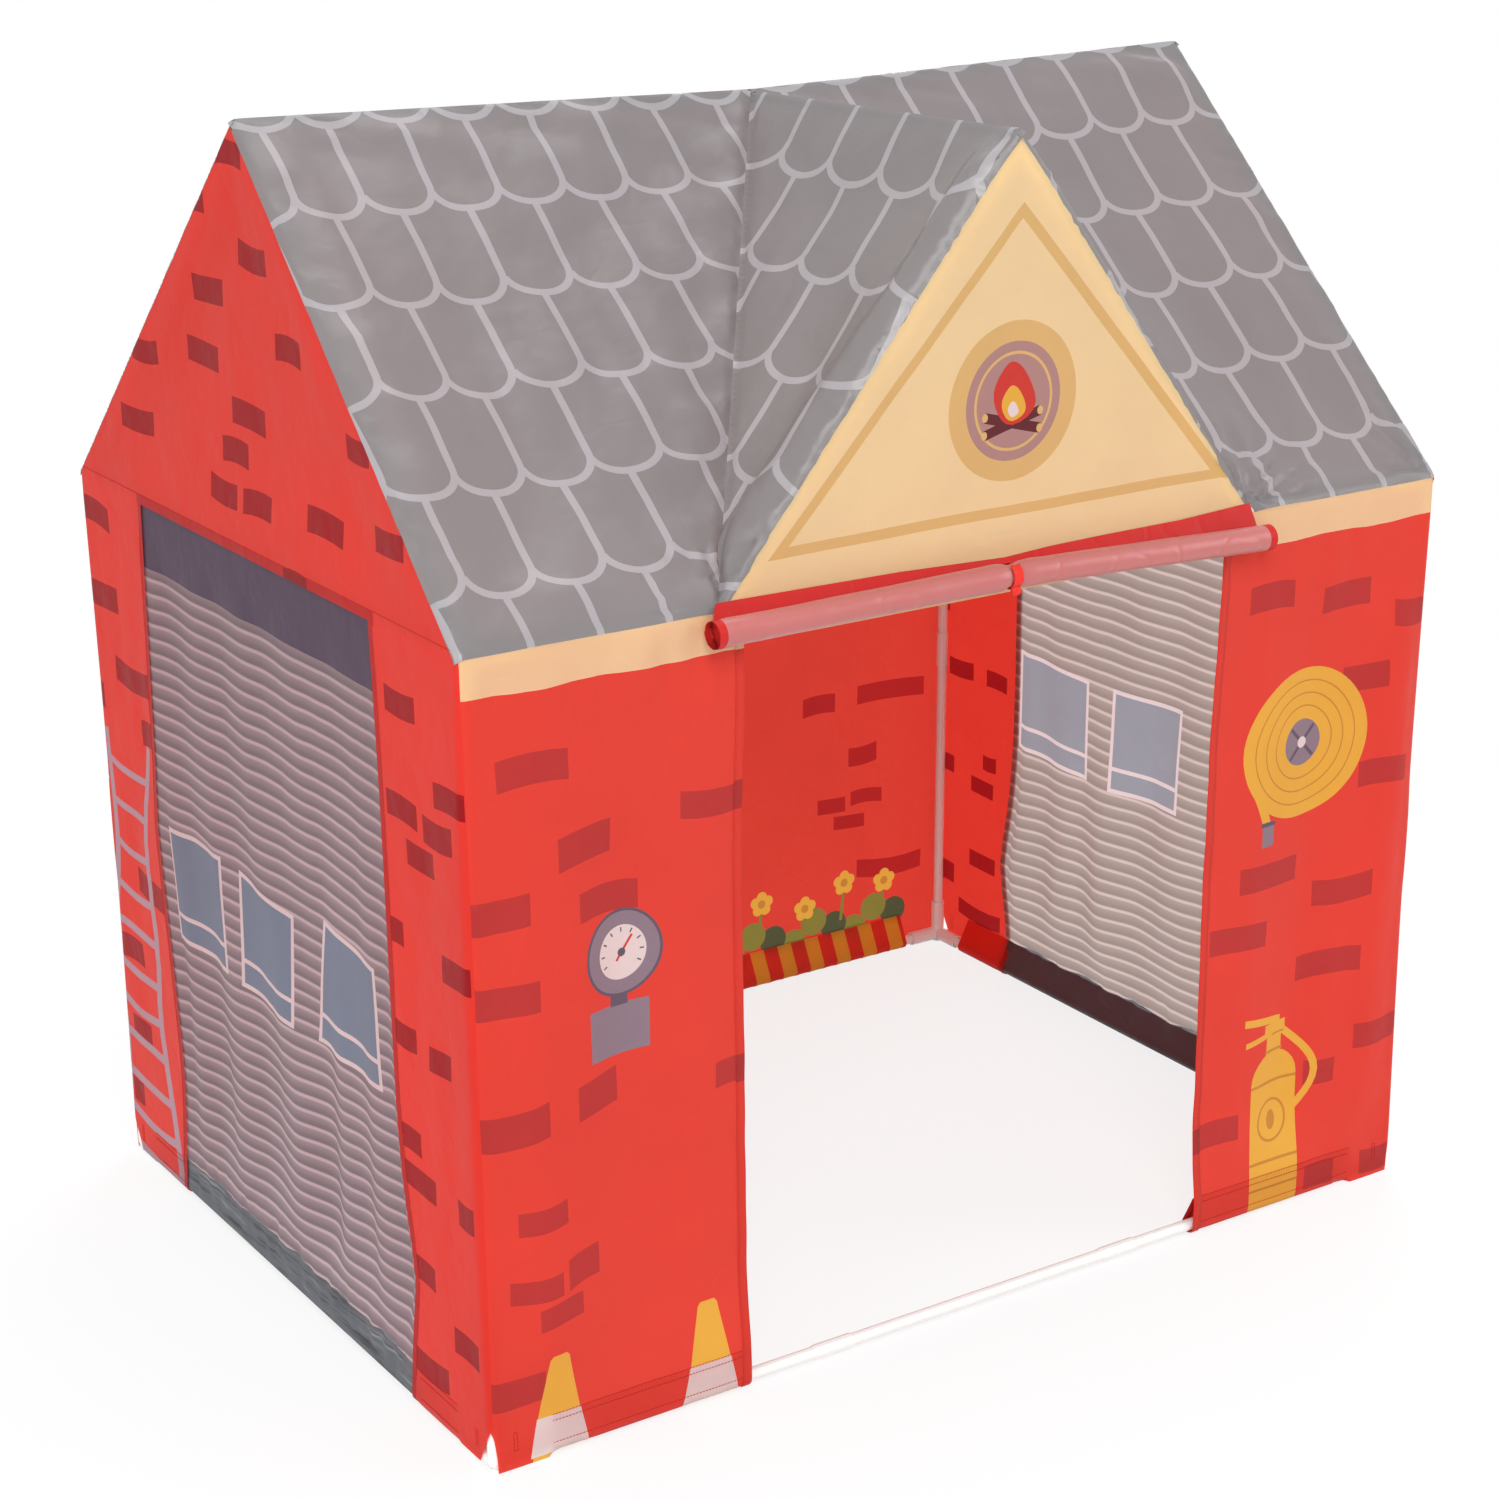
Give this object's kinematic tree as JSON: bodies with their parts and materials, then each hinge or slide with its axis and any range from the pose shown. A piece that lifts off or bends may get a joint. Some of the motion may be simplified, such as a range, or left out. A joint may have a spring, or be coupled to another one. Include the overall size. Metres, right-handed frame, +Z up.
{
  "type": "play tent",
  "caption": "Child's play tent shaped like a small fire station: printed cloth cover on a plastic pole frame, with a doorway curtain that drops from a tied roll.",
  "frame": {"origin": "floor level, at the middle of the whole tent's width and depth, with the rolled curtain counted in the depth", "axes": "+Z up, -Y towards the front doorway, +X to the right as seen from the front"},
  "size_m": [1.21, 0.9248, 1.2658],
  "materials": {
    "white_plastic": "white moulded and extruded plastic, slightly satin",
    "red_cloth": "thin red printed polyester with darker brick prints",
    "roof_cloth": "thin warm grey polyester printed with pale scalloped shingle lines",
    "cream_cloth": "thin cream polyester with a darker printed border",
    "shutter_cloth": "thin grey polyester printed as a slatted shutter with windows",
    "curtain_cloth": "reverse side of thin red polyester, dull pink"
  },
  "bodies": {
    "tent": {"back_eave_rail": "white_plastic", "back_floor_rail_left": "white_plastic", "back_floor_rail_right": "white_plastic", "back_wall": "red_cloth", "curtain_sheet": "curtain_cloth", "dormer_gable": "cream_cloth", "dormer_peak_connector": "white_plastic", "dormer_rafter_left": "white_plastic", "dormer_rafter_right": "white_plastic", "dormer_ridge_pole": "white_plastic", "dormer_roof_left": "roof_cloth", "dormer_roof_right": "roof_cloth", "dormer_tee_left": "white_plastic", "dormer_tee_right": "white_plastic", "eave_connector_back_left": "white_plastic", "eave_connector_back_right": "white_plastic", "eave_connector_front_left": "white_plastic", "eave_connector_front_right": "white_plastic", "floor_connector_back_left": "white_plastic", "floor_connector_back_right": "white_plastic", "floor_connector_front_left": "white_plastic", "floor_connector_front_right": "white_plastic", "front_eave_rail_left": "white_plastic", "front_eave_rail_middle": "white_plastic", "front_eave_rail_right": "white_plastic", "front_floor_rail_left": "white_plastic", "front_floor_rail_middle": "white_plastic", "front_floor_rail_right": "white_plastic", "front_left_wall": "red_cloth", "front_right_wall": "red_cloth", "gable_peak_connector_left": "white_plastic", "gable_peak_connector_right": "white_plastic", "left_shutter": "shutter_cloth", "left_wall": "red_cloth", "post_back_left_lower": "white_plastic", "post_back_left_upper": "white_plastic", "post_back_right_lower": "white_plastic", "post_back_right_upper": "white_plastic", "post_front_left_lower": "white_plastic", "post_front_left_upper": "white_plastic", "post_front_right_lower": "white_plastic", "post_front_right_upper": "white_plastic", "rafter_back_left": "white_plastic", "rafter_back_right": "white_plastic", "rafter_front_left": "white_plastic", "rafter_front_right": "white_plastic", "ridge_hub": "white_plastic", "ridge_pole_left": "white_plastic", "ridge_pole_right": "white_plastic", "right_shutter": "shutter_cloth", "right_wall": "red_cloth", "roof_back": "roof_cloth", "roof_front_left": "roof_cloth", "roof_front_right": "roof_cloth", "side_eave_rail_left": "white_plastic", "side_eave_rail_right": "white_plastic", "side_floor_rail_left": "white_plastic", "side_floor_rail_right": "white_plastic", "tie_strap": "red_cloth"},
    "curtain": {"curtain_roll": "curtain_cloth"}
  },
  "joints": [
    {"name": "curtain_drop", "type": "slide", "parent": "tent", "child": "curtain", "axis": [0, 0, -1], "range_m": [0, 0.785], "deforming": ["curtain_sheet", "tie_strap"]}
  ]
}
